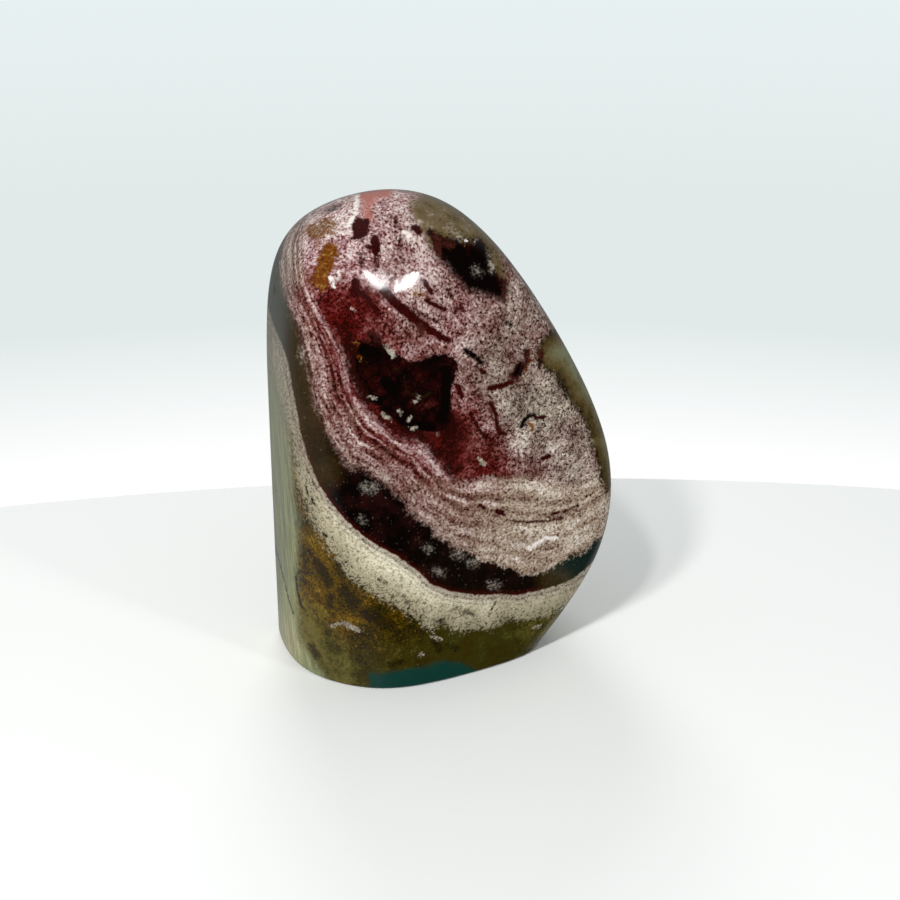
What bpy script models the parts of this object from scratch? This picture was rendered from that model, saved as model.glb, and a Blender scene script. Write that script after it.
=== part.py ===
"""A polished jasper freeform: one free-standing stone, sawn flat underneath and ground to a soft, leaning form.

The stone is cut the way a lapidary cuts one. Flat and slightly tilted faces are ground on a rough block, each at
its own heading, tilt and distance from a point in the block's heart, and then every edge between them is rolled
over. The saw cut underneath stays flat, and only its rim is eased.

Frame: +Z up, the broad show face looks along -Y, and the origin is under the middle of the stone's box, on the
surface that it stands on. Sizes in the tables are millimetres.
"""

import math

import bmesh
import bpy
import numpy as np

MM = 0.001

# Driving dimensions
HEART_HEIGHT = 44.0  # height of the point that the ground faces are measured from
RIM_EASING = 0.9  # width of the rounded rim of the sawn base
EDGE_ROLL = 8.0  # how tightly the ground faces meet: 2 gives an egg, 20 a crisp block
CROWN_ANGLE = math.radians(45)  # from the upright axis, where the side grid hands over to the crown grid

# Each ground face: its heading in degrees (0 is the show face, +90 the right side, 180 the back), its tilt in
# degrees (+ looks up), and its distance from the heart in millimetres.
GROUND_FACES = {
    "show face": (0, 7, 22.0),
    "show face, foot": (0, -12, 25.0),
    "left corner, foot": (-50, -15, 35.2),
    "left side": (-103, 0, 32.1),
    "back": (180, 3, 22.5),
    "right shoulder": (79, 30, 30.9),
    "right side": (84, 0, 34.0),
    "right undercut": (92, -36, 40.6),
    "crown, right": (78, 60, 48.4),
    "crown, left": (-112, 52, 54.6),
    "crown, back": (165, 58, 48.2),
    "crown, front": (-5, 45, 45.0),
}

# Mesh
GRID_CELLS = 24  # squares along each edge of the starting cube
RIM_SEGMENTS = 3
RIM_ANGLE = math.radians(35)  # edges sharper than this are the rim of the base
RIM_SEARCH_STEPS = 40
WIDEST = 120.0  # no ground face is further from the heart than this

STONE_COLOUR = (0.20, 0.085, 0.075, 1.0)  # the mauve, red and olive of the bands, taken together
POLISH_ROUGHNESS = 0.12


def clear_scene():
    for old in list(bpy.data.objects):
        bpy.data.objects.remove(old, do_unlink=True)


def face_normals():
    """The unit normal of each ground face, one row each."""
    rows = []
    for heading, tilt, _ in GROUND_FACES.values():
        turn, lean = math.radians(heading), math.radians(tilt)
        rows.append((math.sin(turn) * math.cos(lean), -math.cos(turn) * math.cos(lean), math.sin(lean)))
    return np.array(rows)


def reach(points):
    """How far each point, measured from the heart, has come towards the surface: 1 is on it.

    Each ground face counts its own share, and the power sum blends them, which rolls the edges over.
    """
    distances = np.array([distance for _, _, distance in GROUND_FACES.values()])
    shares = np.maximum(points @ face_normals().T / distances, 0.0)
    return (shares**EDGE_ROLL).sum(axis=1) ** (1 / EDGE_ROLL)


def level_directions(heading):
    return np.column_stack((np.sin(heading), -np.cos(heading), np.zeros_like(heading)))


def rim_radius(heading):
    """Distance from the upright axis to the rim of the saw cut, for each heading, by halving an interval."""
    outward = level_directions(heading)
    near, far = np.zeros_like(heading), np.full_like(heading, WIDEST)
    for _ in range(RIM_SEARCH_STEPS):
        middle = (near + far) / 2
        points = outward * middle[:, None]
        points[:, 2] = -HEART_HEIGHT
        inside = reach(points) < 1
        near, far = np.where(inside, middle, near), np.where(inside, far, middle)
    return (near + far) / 2


def shape_points(cube):
    """Where each point of a cube from -1 to 1 goes on the stone, in millimetres.

    The cube's underside becomes the saw cut, so the rim is a clean loop of edges. Its four sides run from the rim
    to the crown, and its top becomes the crown.
    """
    off_axis = np.maximum(np.abs(cube[:, 0]), np.abs(cube[:, 1]))
    share = np.maximum(off_axis, 1e-9)
    even = np.tan(cube[:, :2] / share[:, None] * math.pi / 4)  # even steps of angle along each cube side
    heading = np.where(off_axis > 0, np.arctan2(even[:, 0], -even[:, 1]), 0.0)
    rim = rim_radius(heading)

    rim_angle = math.pi - np.arctan2(rim, HEART_HEIGHT)
    height = (cube[:, 2] + 1) / 2
    on_side = off_axis > 1 - 1e-6
    angle = np.where(on_side, rim_angle + (CROWN_ANGLE - rim_angle) * height, CROWN_ANGLE * off_axis)
    outward = level_directions(heading) * np.sin(angle)[:, None]
    outward[:, 2] = np.cos(angle)
    points = outward / reach(outward)[:, None]

    underside = cube[:, 2] < -1 + 1e-6
    sawn = level_directions(heading) * (rim * off_axis)[:, None]
    sawn[:, 2] = -HEART_HEIGHT
    points[underside] = sawn[underside]
    points[:, 2] += HEART_HEIGHT
    return points


def centred(points):
    """The points with the middle of their box over the origin."""
    middle = (points.min(axis=0) + points.max(axis=0)) / 2
    return points - (middle[0], middle[1], 0.0)


def polished_jasper():
    material = bpy.data.materials.new("polished_jasper")
    material.use_nodes = True
    surface = material.node_tree.nodes["Principled BSDF"]
    surface.inputs["Base Color"].default_value = STONE_COLOUR
    surface.inputs["Roughness"].default_value = POLISH_ROUGHNESS
    surface.inputs["Metallic"].default_value = 0.0
    return material


def build_stone(collection):
    """The whole stone, as one solid: a gridded cube moved onto the ground form, with an eased rim."""
    mesh = bpy.data.meshes.new("stone")
    grid = bmesh.new()
    bmesh.ops.create_cube(grid, size=2.0)
    bmesh.ops.subdivide_edges(grid, edges=grid.edges[:], cuts=GRID_CELLS - 1, use_grid_fill=True)
    cube = np.array([vertex.co for vertex in grid.verts])
    for vertex, point in zip(grid.verts, centred(shape_points(cube)) * MM):
        vertex.co = point
    grid.to_mesh(mesh)
    grid.free()
    mesh.shade_smooth()

    stone = bpy.data.objects.new("stone", mesh)
    collection.objects.link(stone)
    stone.data.materials.append(polished_jasper())
    rim = stone.modifiers.new("eased rim", "BEVEL")
    rim.limit_method = "ANGLE"
    rim.angle_limit = RIM_ANGLE
    rim.width = RIM_EASING * MM
    rim.segments = RIM_SEGMENTS
    return stone


def main():
    clear_scene()
    collection = bpy.data.collections.new("jasper_freeform")
    bpy.context.scene.collection.children.link(collection)
    build_stone(collection)


main()
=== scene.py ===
"""The ocean jasper freeform in full dress: one polished, banded stone on a pale table, in soft studio light."""

import math
from functools import partial

import bpy
import numpy as np
from bpy.props import FloatProperty, FloatVectorProperty, IntProperty, PointerProperty
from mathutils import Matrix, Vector
from mathutils.bvhtree import BVHTree


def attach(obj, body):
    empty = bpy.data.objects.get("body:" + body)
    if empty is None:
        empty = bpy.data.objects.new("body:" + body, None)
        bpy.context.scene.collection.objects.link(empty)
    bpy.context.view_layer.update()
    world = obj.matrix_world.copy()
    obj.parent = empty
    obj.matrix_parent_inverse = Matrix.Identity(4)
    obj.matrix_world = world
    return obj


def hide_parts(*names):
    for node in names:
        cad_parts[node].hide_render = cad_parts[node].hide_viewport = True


bl_info = {
    "name": "Ocean jasper freeform",
    "version": (1, 0, 0),
    "blender": (4, 5, 0),
    "location": "3D View > Sidebar > Jasper",
    "description": "Builds a polished, banded jasper freeform on a pale table",
    "category": "Add Mesh",
}

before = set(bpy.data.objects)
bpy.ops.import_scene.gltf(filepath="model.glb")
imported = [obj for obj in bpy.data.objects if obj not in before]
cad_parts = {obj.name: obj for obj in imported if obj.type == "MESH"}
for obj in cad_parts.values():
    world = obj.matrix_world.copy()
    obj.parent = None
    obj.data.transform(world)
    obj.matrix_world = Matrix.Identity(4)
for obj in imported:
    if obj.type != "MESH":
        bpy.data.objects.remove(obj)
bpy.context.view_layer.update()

MM = 0.001

# Each ground face of the stone: its heading in degrees (0 is the show face, +90 the right side, 180 the back), its
# tilt in degrees (+ looks up), and its distance in millimetres from the heart, a point inside the stone.
GROUND_FACES = {
    "Show Face": (0, 7, 22.0),
    "Show Face, Foot": (0, -12, 25.0),
    "Left Corner, Foot": (-50, -15, 35.2),
    "Left Side": (-103, 0, 32.1),
    "Back": (180, 3, 22.5),
    "Right Shoulder": (79, 30, 30.9),
    "Right Side": (84, 0, 34.0),
    "Right Undercut": (92, -36, 40.6),
    "Crown, Right": (78, 60, 48.4),
    "Crown, Left": (-112, 52, 54.6),
    "Crown, Back": (165, 58, 48.2),
    "Crown, Front": (-5, 45, 45.0),
}
RIM_SEARCH_STEPS = 24
RIM_ROWS = 4  # rows of cells that roll over the rim of the sawn base
WIDEST = 120 * MM  # no ground face is further from the heart than this
ON_EDGE = 0.9999  # on the starting cube, which runs from -1 to 1, a point past this lies on a side of it
RIM_TO_POLISH = (3 * MM, 9 * MM)  # heights between which the sway and the pits fade in
SWAY_SCALE = 70.0  # swings of the hand-held polish in a metre

# The view that the pattern was drawn in: from the left and from above. Positions in it are in pixels of a
# 900 by 900 picture, and PIXELS_PER_MM is its scale at the stone.
PICTURE = 900
OFF_PICTURE = (3000, -400)  # far out on the heart's side of every band
VIEW_AIM = Vector((3.2, -1.65, 42.0))
VIEW_HEADING = math.radians(-28)
VIEW_RISE = math.radians(22)
VIEW_DISTANCE = 277.0
VIEW_FIELD = math.radians(36)
PIXELS_PER_MM = 5.0

# Behind the stone's edge the pattern goes on into the depth, and drifts this many pixels for each millimetre of it.
DRIFT_INTO_DEPTH = (2.2, -1.5)
# Slow bends on the way, so that the far side isn't the show side over again. Each has its direction in the picture
# (0 across, 1 down), its reach in pixels for each millimetre of depth, its pace along X and Z, and its phase.
BEND_DEPTH = 30.0  # they stop growing this deep behind the edge
BENDS = ((0, 0.9, (0, 1 / 13), 1.0), (0, 0.5, (1 / 7, 0), 0.0), (1, 0.9, (1 / 11, 1 / 19), 2.0))

# The boundaries between the bands, from the left edge down round the foot to the right edge. The first and last
# points of each carry it on to the sides that the view doesn't show.
DARK_BAND_OUTER = (
    (250, -400), (262, 230), (267, 303), (272, 320), (287, 358), (294, 396), (301, 435), (310, 463), (319, 484),
    (329, 500), (347, 521), (362, 535), (380, 547), (397, 556), (418, 571), (430, 583), (441, 588), (453, 592),
    (476, 595), (499, 594), (518, 595), (537, 591), (556, 586), (571, 580), (581, 573), (590, 564), (640, 520),
    (700, 455), (900, 250),
)
DARK_BAND_INNER = (
    (330, -400), (312, 190), (295, 221), (287, 232), (281, 247), (280, 262), (281, 282), (285, 301), (294, 320),
    (300, 335), (306, 358), (309, 378), (311, 396), (319, 414), (327, 434), (336, 448), (344, 461), (352, 469),
    (362, 467), (372, 475), (382, 482), (389, 488), (396, 496), (405, 502), (408, 511), (418, 519), (430, 526),
    (436, 536), (447, 542), (456, 549), (466, 551), (481, 560), (495, 562), (498, 567), (512, 568), (520, 574),
    (532, 576), (541, 574), (553, 567), (564, 561), (572, 556), (580, 554), (588, 548), (593, 542), (600, 539),
    (650, 490), (710, 420), (900, 210),
)
OLIVE_EDGE = (
    (240, -400), (258, 300), (269, 369), (279, 401), (284, 426), (291, 442), (295, 465), (297, 484), (304, 500),
    (308, 517), (319, 536), (333, 556), (340, 565), (351, 581), (369, 591), (380, 600), (390, 604), (399, 610),
    (409, 615), (421, 620), (424, 627), (432, 631), (436, 626), (442, 624), (450, 627), (453, 631), (466, 631),
    (476, 628), (490, 629), (495, 626), (504, 621), (509, 620), (518, 621), (530, 619), (547, 617), (556, 612),
    (561, 610), (600, 590), (660, 545), (720, 490), (900, 300),
)
HEART_EDGE = (
    (350, -400), (325, 185), (306, 224), (301, 243), (302, 262), (305, 282), (312, 301), (328, 329), (343, 358),
    (352, 387), (367, 411), (380, 425), (392, 434), (404, 441), (414, 442), (424, 447), (431, 455), (437, 464),
    (445, 474), (453, 481), (465, 483), (485, 479), (504, 481), (518, 478), (537, 480), (556, 485), (576, 487),
    (590, 480), (602, 470), (650, 430), (720, 360), (900, 160),
)
LEFT_FACET_EDGE = ((290, -400), (285, 330), (290, 440), (294, 498), (298, 517), (297, 560), (296, 600), (300, 640),
                   (318, 668), (340, 700), (400, 1200))

# Marks on the show side. Each has a half width in millimetres and the points of its middle line.
CRIMSON_MARKS = {
    "blob under the salmon patch": (1.3, ((358, 224), (360, 233))),
    "its right side": (0.8, ((366, 222), (364, 232))),
    "arc over the bar": (0.3, ((348, 239), (358, 238), (369, 248))),
    "bar, top": (0.95, ((375, 239), (376, 250))),
    "bar, foot": (0.5, ((376, 250), (377, 266))),
    "small one at the top": (0.45, ((396, 220), (397, 226))),
    "second small one": (0.45, ((402, 236), (399, 252))),
    "stain by the cap": (0.8, ((414, 228), (419, 231))),
    "left of the long streak": (0.5, ((424, 281), (431, 292))),
    "foot of that": (0.5, ((427, 301), (445, 309))),
    "star": (0.35, ((452, 305), (462, 309), (468, 309))),
    "star, second ray": (0.35, ((455, 313), (462, 303))),
    "long streak": (0.95, ((384, 290), (394, 302), (405, 311))),
    "long streak, middle": (0.8, ((405, 311), (420, 323), (433, 332))),
    "long streak, tail": (0.6, ((433, 332), (449, 341))),
    "thin one beside it": (0.25, ((404, 300), (420, 312), (438, 322))),
    "spot by the fleck": (0.5, ((481, 370), (485, 373))),
    "hook, tail": (0.55, ((512, 382), (502, 386), (490, 388))),
    "curved streak": (0.4, ((491, 404), (496, 414), (497, 425), (500, 433), (505, 434))),
    "thin streak": (0.35, ((470, 413), (476, 424), (481, 433), (492, 440))),
    "beside the ring": (0.45, ((536, 418), (544, 417))),
    "small low one": (0.5, ((542, 459), (549, 456))),
    "clot in the layers": (0.45, ((497, 511), (503, 514))),
    "its neighbour": (0.35, ((480, 505), (485, 508))),
    "red layer": (0.20, ((508, 520), (526, 522), (545, 521), (562, 518))),
    "red layer, right": (0.25, ((552, 514), (566, 511), (578, 505))),
    "patch beside the chunk": (0.5, ((458, 386), (462, 396))),
    "over the chunk": (0.9, ((356, 282), (354, 294))),
    "streak from it": (0.6, ((361, 292), (370, 302), (378, 314))),
    "speck by the cap": (0.35, ((447, 290), (452, 297))),
}
CHUNK_AREA = ((362, 338), (380, 342), (396, 354), (410, 362), (422, 361), (434, 354), (446, 354), (455, 359),
              (459, 367), (455, 377), (450, 389), (451, 406), (452, 416), (445, 428), (434, 432), (425, 430),
              (410, 430), (396, 422), (384, 412), (374, 402), (364, 386), (356, 370), (354, 352))
BLACK_MARKS = {
    "chunk, right rim": (1.1, ((446, 370), (446, 390), (445, 408), (440, 420))),
    "chunk, left": (1.3, ((386, 382), (395, 391))),
    "chunk, top left": (1.4, ((364, 350), (376, 354))),
    "chunk, foot": (1.0, ((412, 424), (432, 427))),
    "chunk, lower left": (0.8, ((372, 398), (380, 402))),
    "fleck": (0.55, ((465, 350), (472, 354), (481, 362))),
    "spot on the right": (0.5, ((507, 323), (512, 325))),
    "ring": (0.4, ((522, 427), (524, 420), (529, 416), (535, 415))),
    "hook, core": (0.35, ((520, 364), (516, 374))),
}
RUST_MARKS = {
    "cap, upper part": (0.9, ((430, 232), (440, 240), (452, 244))),
    "hook": (1.2, ((521, 366), (515, 376))),
    "hook, upper arm": (0.6, ((526, 350), (527, 362))),
    "chunk, beside it": (0.9, ((372, 336), (378, 340))),
    "edge of the olive": (0.6, ((541, 352), (540, 364))),
    "bruise by the bar": (0.5, ((361, 254), (363, 266))),
    "clot under the cap": (0.7, ((420, 326), (422, 332))),
    "red of the cap": (0.8, ((434, 238), (438, 252))),
    "cap, right end": (0.35, ((506, 280), (503, 298))),
}
CAP_AREA = ((409, 203), (412, 216), (420, 231), (430, 248), (441, 261), (450, 272), (459, 281), (467, 291),
            (479, 294), (491, 297), (503, 302), (509, 291), (507, 273), (500, 252), (496, 230), (470, 200),
            (430, 185))
CAP_CORE = ((440, 243), (449, 240), (459, 243), (469, 248), (480, 257), (488, 267), (497, 282), (506, 292),
            (503, 300), (496, 297), (490, 291), (479, 292), (468, 290), (458, 279), (450, 270), (441, 258))
RIGHT_OLIVE_AREA = ((543, 336), (538, 348), (538, 358), (541, 368), (553, 373), (561, 387), (570, 402), (580, 415),
                    (589, 432), (591, 447), (597, 462), (600, 480), (606, 492), (625, 480), (640, 430), (640, 380),
                    (610, 345), (585, 320), (560, 326))
MUSTARD_MARKS = {
    "upper": (1.7, ((315, 232), (327, 226))),
    "lower": (1.9, ((328, 252), (324, 268), (320, 280))),
    "by the chunk": (0.45, ((358, 346), (361, 356))),
    "under the ring": (0.4, ((530, 425), (533, 429))),
    "small, top": (0.5, ((415, 295), (422, 295))),
    "beside the hook": (0.35, ((529, 352), (528, 366), (522, 376))),
}
PALE_MARKS = {
    "long crystal": (0.42, ((386, 346), (394, 356))),
    "crystal 1": (0.32, ((414, 403), (419, 396))),
    "crystal 2": (0.24, ((399, 410), (402, 414))),
    "crystal 3": (0.18, ((408, 421), (411, 417))),
    "crystal 4": (0.18, ((412, 429), (417, 427))),
    "green crystal": (0.34, ((383, 414), (390, 420))),
    "ring crystal": (0.34, ((370, 397), (376, 399))),
    "yellow crystal": (0.34, ((480, 460), (484, 464))),
    "dot": (0.22, ((437, 434), (438, 435))),
    "cap, third light spot": (0.25, ((449, 264), (450, 266))),
    "cap, light streak": (0.30, ((490, 262), (492, 269))),
    "in the foot, right": (0.26, ((534, 628), (539, 626))),
    "blue patch in the foot": (0.42, ((344, 623), (358, 630))),
    "vein to it": (0.25, ((330, 626), (344, 623))),
    "dots in the foot": (0.18, ((418, 655), (424, 655))),
    "flecks in the foot": (0.3, ((432, 636), (441, 640))),
}
WHITE_MARKS = {
    "vein down from the top": (0.45, ((357, 196), (355, 212), (348, 226))),
    # The next two marks are painted highlights: small white glints of light laid into the colour.
    "painted glint": (0.38, ((330, 277), (334, 287))),
    "second painted glint": (0.3, ((337, 268), (338, 278))),
    "cap, light spot": (0.28, ((465, 240), (467, 241))),
    "cap, second light spot": (0.20, ((475, 241), (476, 242))),
    # This mark is a painted highlight: light caught on a small chip in the layers, laid in as near-white colour.
    "painted highlight on a chip in the layers": (0.40, ((529, 549), (538, 543), (545, 538), (556, 538))),
    "spot in the red": (0.25, ((352, 309), (354, 310))),
    "second spot in the red": (0.25, ((388, 308), (389, 309))),
    "pale clot": (0.5, ((405, 232), (410, 236))),
}
DUSTY_MARKS = {
    "on the upper mustard spot": (1.2, ((317, 231), (327, 227))),
    "blob in the dark band": (1.0, ((366, 488), (374, 488))),
    "small blob": (0.7, ((456, 554), (461, 556))),
    "lower blob": (0.6, ((470, 562), (475, 564))),
    "low dots": (0.6, ((436, 571), (441, 573))),
    "spot in the dark band": (0.35, ((361, 519), (363, 521))),
    "dim one": (0.6, ((491, 584), (497, 586))),
    "dim one, left": (0.5, ((426, 548), (430, 549))),
    "high up": (0.45, ((301, 352), (303, 362))),
    "in the cap": (0.6, ((475, 269), (479, 273))),
    "in the cap, high": (0.9, ((449, 228), (458, 236))),
    "at the cap's edge": (0.4, ((490, 254), (493, 270))),
}
SALMON_MARKS = {
    "patch on the crown": (1.8, ((366, 190), (376, 188), (384, 189))),
    "its left part": (1.2, ((363, 195), (371, 200))),
    "down to the blob": (0.8, ((367, 204), (368, 218))),
}
DARK_OLIVE_MARKS = {
    "upper left": (0.9, ((317, 562), (324, 572), (330, 584))),
    "middle": (1.1, ((343, 591), (349, 596), (356, 601))),
    "middle, low": (0.7, ((331, 596), (329, 606))),
    "under the cream": (1.1, ((366, 614), (378, 619), (390, 626))),
    "left, low": (0.7, ((311, 646), (317, 656))),
    "small": (0.4, ((357, 658), (362, 661))),
    "far down": (0.5, ((390, 664), (402, 662))),
    "grey streak on the crown": (0.5, ((327, 211), (337, 207))),
    # This mark is painted shade: the dark inside a small pit, laid in as colour.
    "pit": (0.45, ((435, 621), (443, 620))),
    "in the cream": (0.30, ((404, 597), (408, 602))),
    "second in the cream": (0.40, ((456, 608), (462, 611), (473, 613))),
    "third in the cream": (0.30, ((380, 580), (386, 583))),
    "low right": (0.7, ((434, 640), (440, 650))),
    "low right, next": (0.5, ((448, 646), (458, 648))),
}
TEAL_AREA = ((369, 672), (380, 674), (394, 671), (418, 668), (433, 664), (447, 661), (461, 663), (474, 668),
             (482, 676), (480, 720), (369, 720))
CRACK_MARKS = {
    "on the left facet": (0.10, ((273, 520), (275, 545), (283, 575), (289, 600), (294, 615))),
    "across the corner": (0.20, ((295, 577), (300, 571), (307, 574), (313, 566), (315, 559))),
    "round the fissure": (0.20, ((303, 556), (309, 549), (311, 556), (305, 563))),
    "down the corner": (0.16, ((296, 575), (297, 588), (301, 606), (306, 610))),
    "in the cream": (0.13, ((397, 602), (411, 601), (426, 603))),
    "right of the foot": (0.12, ((497, 600), (493, 607), (489, 613), (488, 618))),
    "fleck at the band": (0.22, ((306, 487), (308, 495))),
    "third fleck": (0.20, ((312, 499), (315, 506))),
    "second fleck": (0.25, ((323, 533), (326, 537))),
    "in the chunk": (0.16, ((392, 366), (404, 376), (408, 392), (420, 398), (432, 392))),
}

# Where thin lines stand in the layers, as a share of the way in from the dark band, and how light each is.
LAYER_LINES = {0.0: 0.42, 0.08: 0.46, 0.13: 0.54, 0.18: 0.46, 0.25: 0.44, 0.28: 0.54, 0.31: 0.44, 0.42: 0.48,
               0.46: 0.60, 0.50: 0.44, 0.55: 0.40, 0.60: 0.16, 0.66: 0.34, 0.70: 0.50, 0.75: 0.14, 0.81: 0.38,
               0.88: 0.60, 0.94: 0.62, 1.0: 0.46}
# How strong the mauve lines in the cream are, over the last three millimetres before the dark band.
EDGE_LINES = {0.0: 0.0, 0.30: 0.0, 0.42: 0.5, 0.50: 0.15, 0.60: 0.2, 0.72: 0.9, 0.86: 0.6, 1.0: 0.8}

# Slow changes of tone over the stone: a place, how far its say reaches, and the value.
# How light the heart is, from 0, deep red, to 1, white.
HEART_LIGHT = {
    "upper left": ((322, 225), 16, 0.80),
    "beside the mustard": ((343, 262), 12, 0.68),
    "left edge": ((316, 292), 10, 0.46),
    "above the solid red": ((338, 318), 15, 0.20),
    "left of the chunk": ((340, 362), 18, 0.02),
    "top": ((385, 212), 18, 0.70),
    "top middle": ((402, 255), 16, 0.66),
    "under the highlights": ((368, 316), 12, 0.24),
    "left of the streak": ((390, 309), 7, 0.56),
    "left of the streak, low": ((412, 332), 8, 0.54),
    "above the chunk": ((410, 335), 14, 0.46),
    "right of the streak": ((440, 290), 16, 0.62),
    "centre": ((460, 325), 18, 0.57),
    "right of the cap": ((515, 310), 18, 0.55),
    "right": ((500, 370), 18, 0.46),
    "pale field": ((540, 395), 22, 0.58),
    "pale spot": ((520, 440), 10, 0.72),
    "right, low": ((570, 450), 16, 0.56),
    "right of the chunk": ((466, 390), 9, 0.42),
    "between": ((490, 420), 12, 0.46),
    "under the chunk": ((445, 440), 13, 0.05),
    "low middle": ((500, 462), 14, 0.32),
    "foot of the chunk": ((395, 425), 10, 0.12),
}
# How grey the heart is, from 0, red, to 1.
HEART_GREY = {
    "left": ((330, 300), 40, 0.0),
    "top": ((390, 220), 25, 0.15),
    "centre": ((450, 310), 25, 0.30),
    "right": ((520, 350), 25, 0.75),
    "pale field": ((550, 410), 30, 1.0),
    "low": ((470, 450), 25, 0.10),
    "right, low": ((560, 460), 20, 0.60),
}
# How pale the layered zone is, from 0, mauve, to 1, cream.
LAYER_PALENESS = {
    "top": ((292, 240), 26, 0.45),
    "left": ((315, 360), 40, 0.0),
    "bend": ((385, 460), 30, 0.0),
    "low middle": ((455, 520), 22, 0.20),
    "foot": ((520, 530), 26, 0.90),
    "right": ((585, 505), 26, 1.0),
}
# How clear and green the dark band is, from 0, near black, to 1.
BAND_CLEARNESS = {
    "upper left": ((276, 270), 26, 1.00),
    "left": ((296, 360), 16, 0.65),
    "left, low": ((309, 410), 12, 0.60),
    "blotch": ((326, 472), 8, 0.65),
    "left, lower": ((316, 440), 8, 0.40),
    "middle": ((385, 510), 34, 0.0),
    "low": ((470, 575), 30, 0.05),
    "right end": ((576, 560), 14, 1.40),
    "under it": ((560, 585), 8, 0.70),
}
# How green and smooth the foot is, from 0, brown and mottled, to 1.
FOOT_GREEN = {
    "under the cream": ((370, 605), 26, 0.0),
    "left": ((335, 592), 20, 0.05),
    "left corner": ((303, 625), 16, 0.9),
    "lower left": ((322, 660), 18, 1.0),
    "middle, low": ((395, 660), 18, 0.7),
    "right": ((490, 645), 26, 0.85),
}
# How light the foot and the left side are, from 0, dark olive, to 1, beige.
FOOT_TONE = {
    "left side, low": ((268, 650), 18, 1.25),
    "left side": ((270, 520), 30, 0.55),
    "left corner": ((306, 625), 16, 0.72),
    "lower left": ((325, 665), 16, 0.60),
    "brown part": ((350, 600), 22, 0.50),
    "middle": ((400, 640), 22, 0.32),
    "low middle": ((450, 650), 20, 0.28),
    "right": ((490, 640), 18, 0.34),
    "far right": ((535, 632), 16, 0.55),
}

# The pattern's fields, each stored on the stone's mesh under its name and read by the material.
BANDS = {"dark_band_outer": DARK_BAND_OUTER, "dark_band_inner": DARK_BAND_INNER, "olive_edge": OLIVE_EDGE,
         "heart_edge": HEART_EDGE, "left_facet_edge": LEFT_FACET_EDGE}
MARKS = {"crimson": CRIMSON_MARKS, "black": BLACK_MARKS, "rust": RUST_MARKS, "mustard": MUSTARD_MARKS,
         "pale": PALE_MARKS, "white": WHITE_MARKS, "dusty": DUSTY_MARKS, "salmon": SALMON_MARKS,
         "dark_olive": DARK_OLIVE_MARKS, "crack": CRACK_MARKS}
AREAS = {"chunk": CHUNK_AREA, "cap": CAP_AREA, "cap_core": CAP_CORE, "right_olive": RIGHT_OLIVE_AREA,
         "teal": TEAL_AREA}
TONES = {"heart_light": HEART_LIGHT, "heart_grey": HEART_GREY, "foot_green": FOOT_GREEN, "foot_tone": FOOT_TONE,
         "layer_paleness": LAYER_PALENESS, "clearness": BAND_CLEARNESS}
PATTERN_FIELDS = (*BANDS, "layer_share", *MARKS, *AREAS, *TONES)

# How fast the marks and areas shrink behind the stone's edge, in millimetres for each millimetre of depth.
FADE = 0.5
SLOW_FADES = {"salmon": 0.15, "cap": 0.1, "right_olive": 0.1, "teal": 0.3}


def linear(colour):
    """An sRGB hex colour as the linear red, green, blue and alpha that a shader reads."""
    shares = [int(colour[place : place + 2], 16) / 255 for place in (0, 2, 4)]
    return [share / 12.92 if share <= 0.04045 else ((share + 0.055) / 1.055) ** 2.4 for share in shares] + [1.0]


def colour(name, description, value):
    return FloatVectorProperty(name=name, description=description, subtype="COLOR", size=4, min=0, max=1,
                               default=linear(value))


# Settings that many nodes share. PLUS gives the first value times the second, plus the third.
TIMES, OVER, MINUS = {"operation": "MULTIPLY"}, {"operation": "DIVIDE"}, {"operation": "SUBTRACT"}
PLUS = {"operation": "MULTIPLY_ADD"}
SOFT, HUE = {"interpolation_type": "SMOOTHSTEP"}, {"data_type": "RGBA"}


def add(tree, kind, *inputs, **settings):
    """Adds a node with its settings and any colour ramp stops, then fills its sockets in order.

    A node given for a socket stands for its first output.
    """
    node = tree.nodes.new(kind)
    for place, (position, value) in enumerate(settings.pop("stops", ())):
        elements = node.color_ramp.elements
        stop = elements[place] if place < 2 else elements.new(position)
        stop.position, stop.color = position, value
    for name, value in settings.items():
        setattr(node, name, value)
    sockets = [socket for socket in node.inputs if socket.enabled]
    for socket, value in zip(sockets, inputs):
        if isinstance(value, bpy.types.Node):
            value = next(output for output in value.outputs if output.enabled)
        if isinstance(value, bpy.types.NodeSocket):
            tree.links.new(value, socket)
        elif value is not None:
            socket.default_value = value
    return node


def grey_stops(tones):
    """Stops of a colour ramp that gives a plain value by place."""
    return [(position, (tone, tone, tone, 1)) for position, tone in tones.items()]


class JasperForm(bpy.types.PropertyGroup):
    heart_height: FloatProperty(name="Heart Height", description="Height of the point the faces are measured from",
                                default=44 * MM, min=10 * MM, max=90 * MM, subtype="DISTANCE")
    edge_roll: FloatProperty(name="Edge Roll", description="2 gives an egg, 20 a crisp block",
                             default=8, min=2, max=30)
    rim_easing: FloatProperty(name="Rim Easing", description="Radius of the rounded rim of the sawn base",
                              default=0.9 * MM, min=0.1 * MM, max=3 * MM, subtype="DISTANCE")
    crown_angle: FloatProperty(name="Crown Angle", description="From the upright axis to the edge of the crown grid",
                               default=math.radians(45), min=0.3, max=1.2, subtype="ANGLE")
    cells_round: IntProperty(name="Cells Across", description="Mesh cells across each side", default=96, min=8,
                             max=120)
    cells_up: IntProperty(name="Cells Up", description="Mesh cells up each side", default=196, min=12, max=240)
    sway: FloatProperty(name="Sway", description="How far the hand-held polish strays from the ground form",
                        default=0.16 * MM, min=0, max=1 * MM, subtype="DISTANCE")
    pits: IntProperty(name="Pits", description="Small pits that the polish left open", default=34, min=0, max=200)
    pit_radius: FloatProperty(name="Pit Radius", description="Radius of a pit", default=0.9 * MM, min=0.2 * MM,
                              max=3 * MM, subtype="DISTANCE")
    pit_depth: FloatProperty(name="Pit Depth", description="Depth of a pit", default=0.3 * MM, min=0,
                             max=1 * MM, subtype="DISTANCE")
    seed: IntProperty(name="Seed", description="Which pits and which sway", default=7, min=0)


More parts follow.
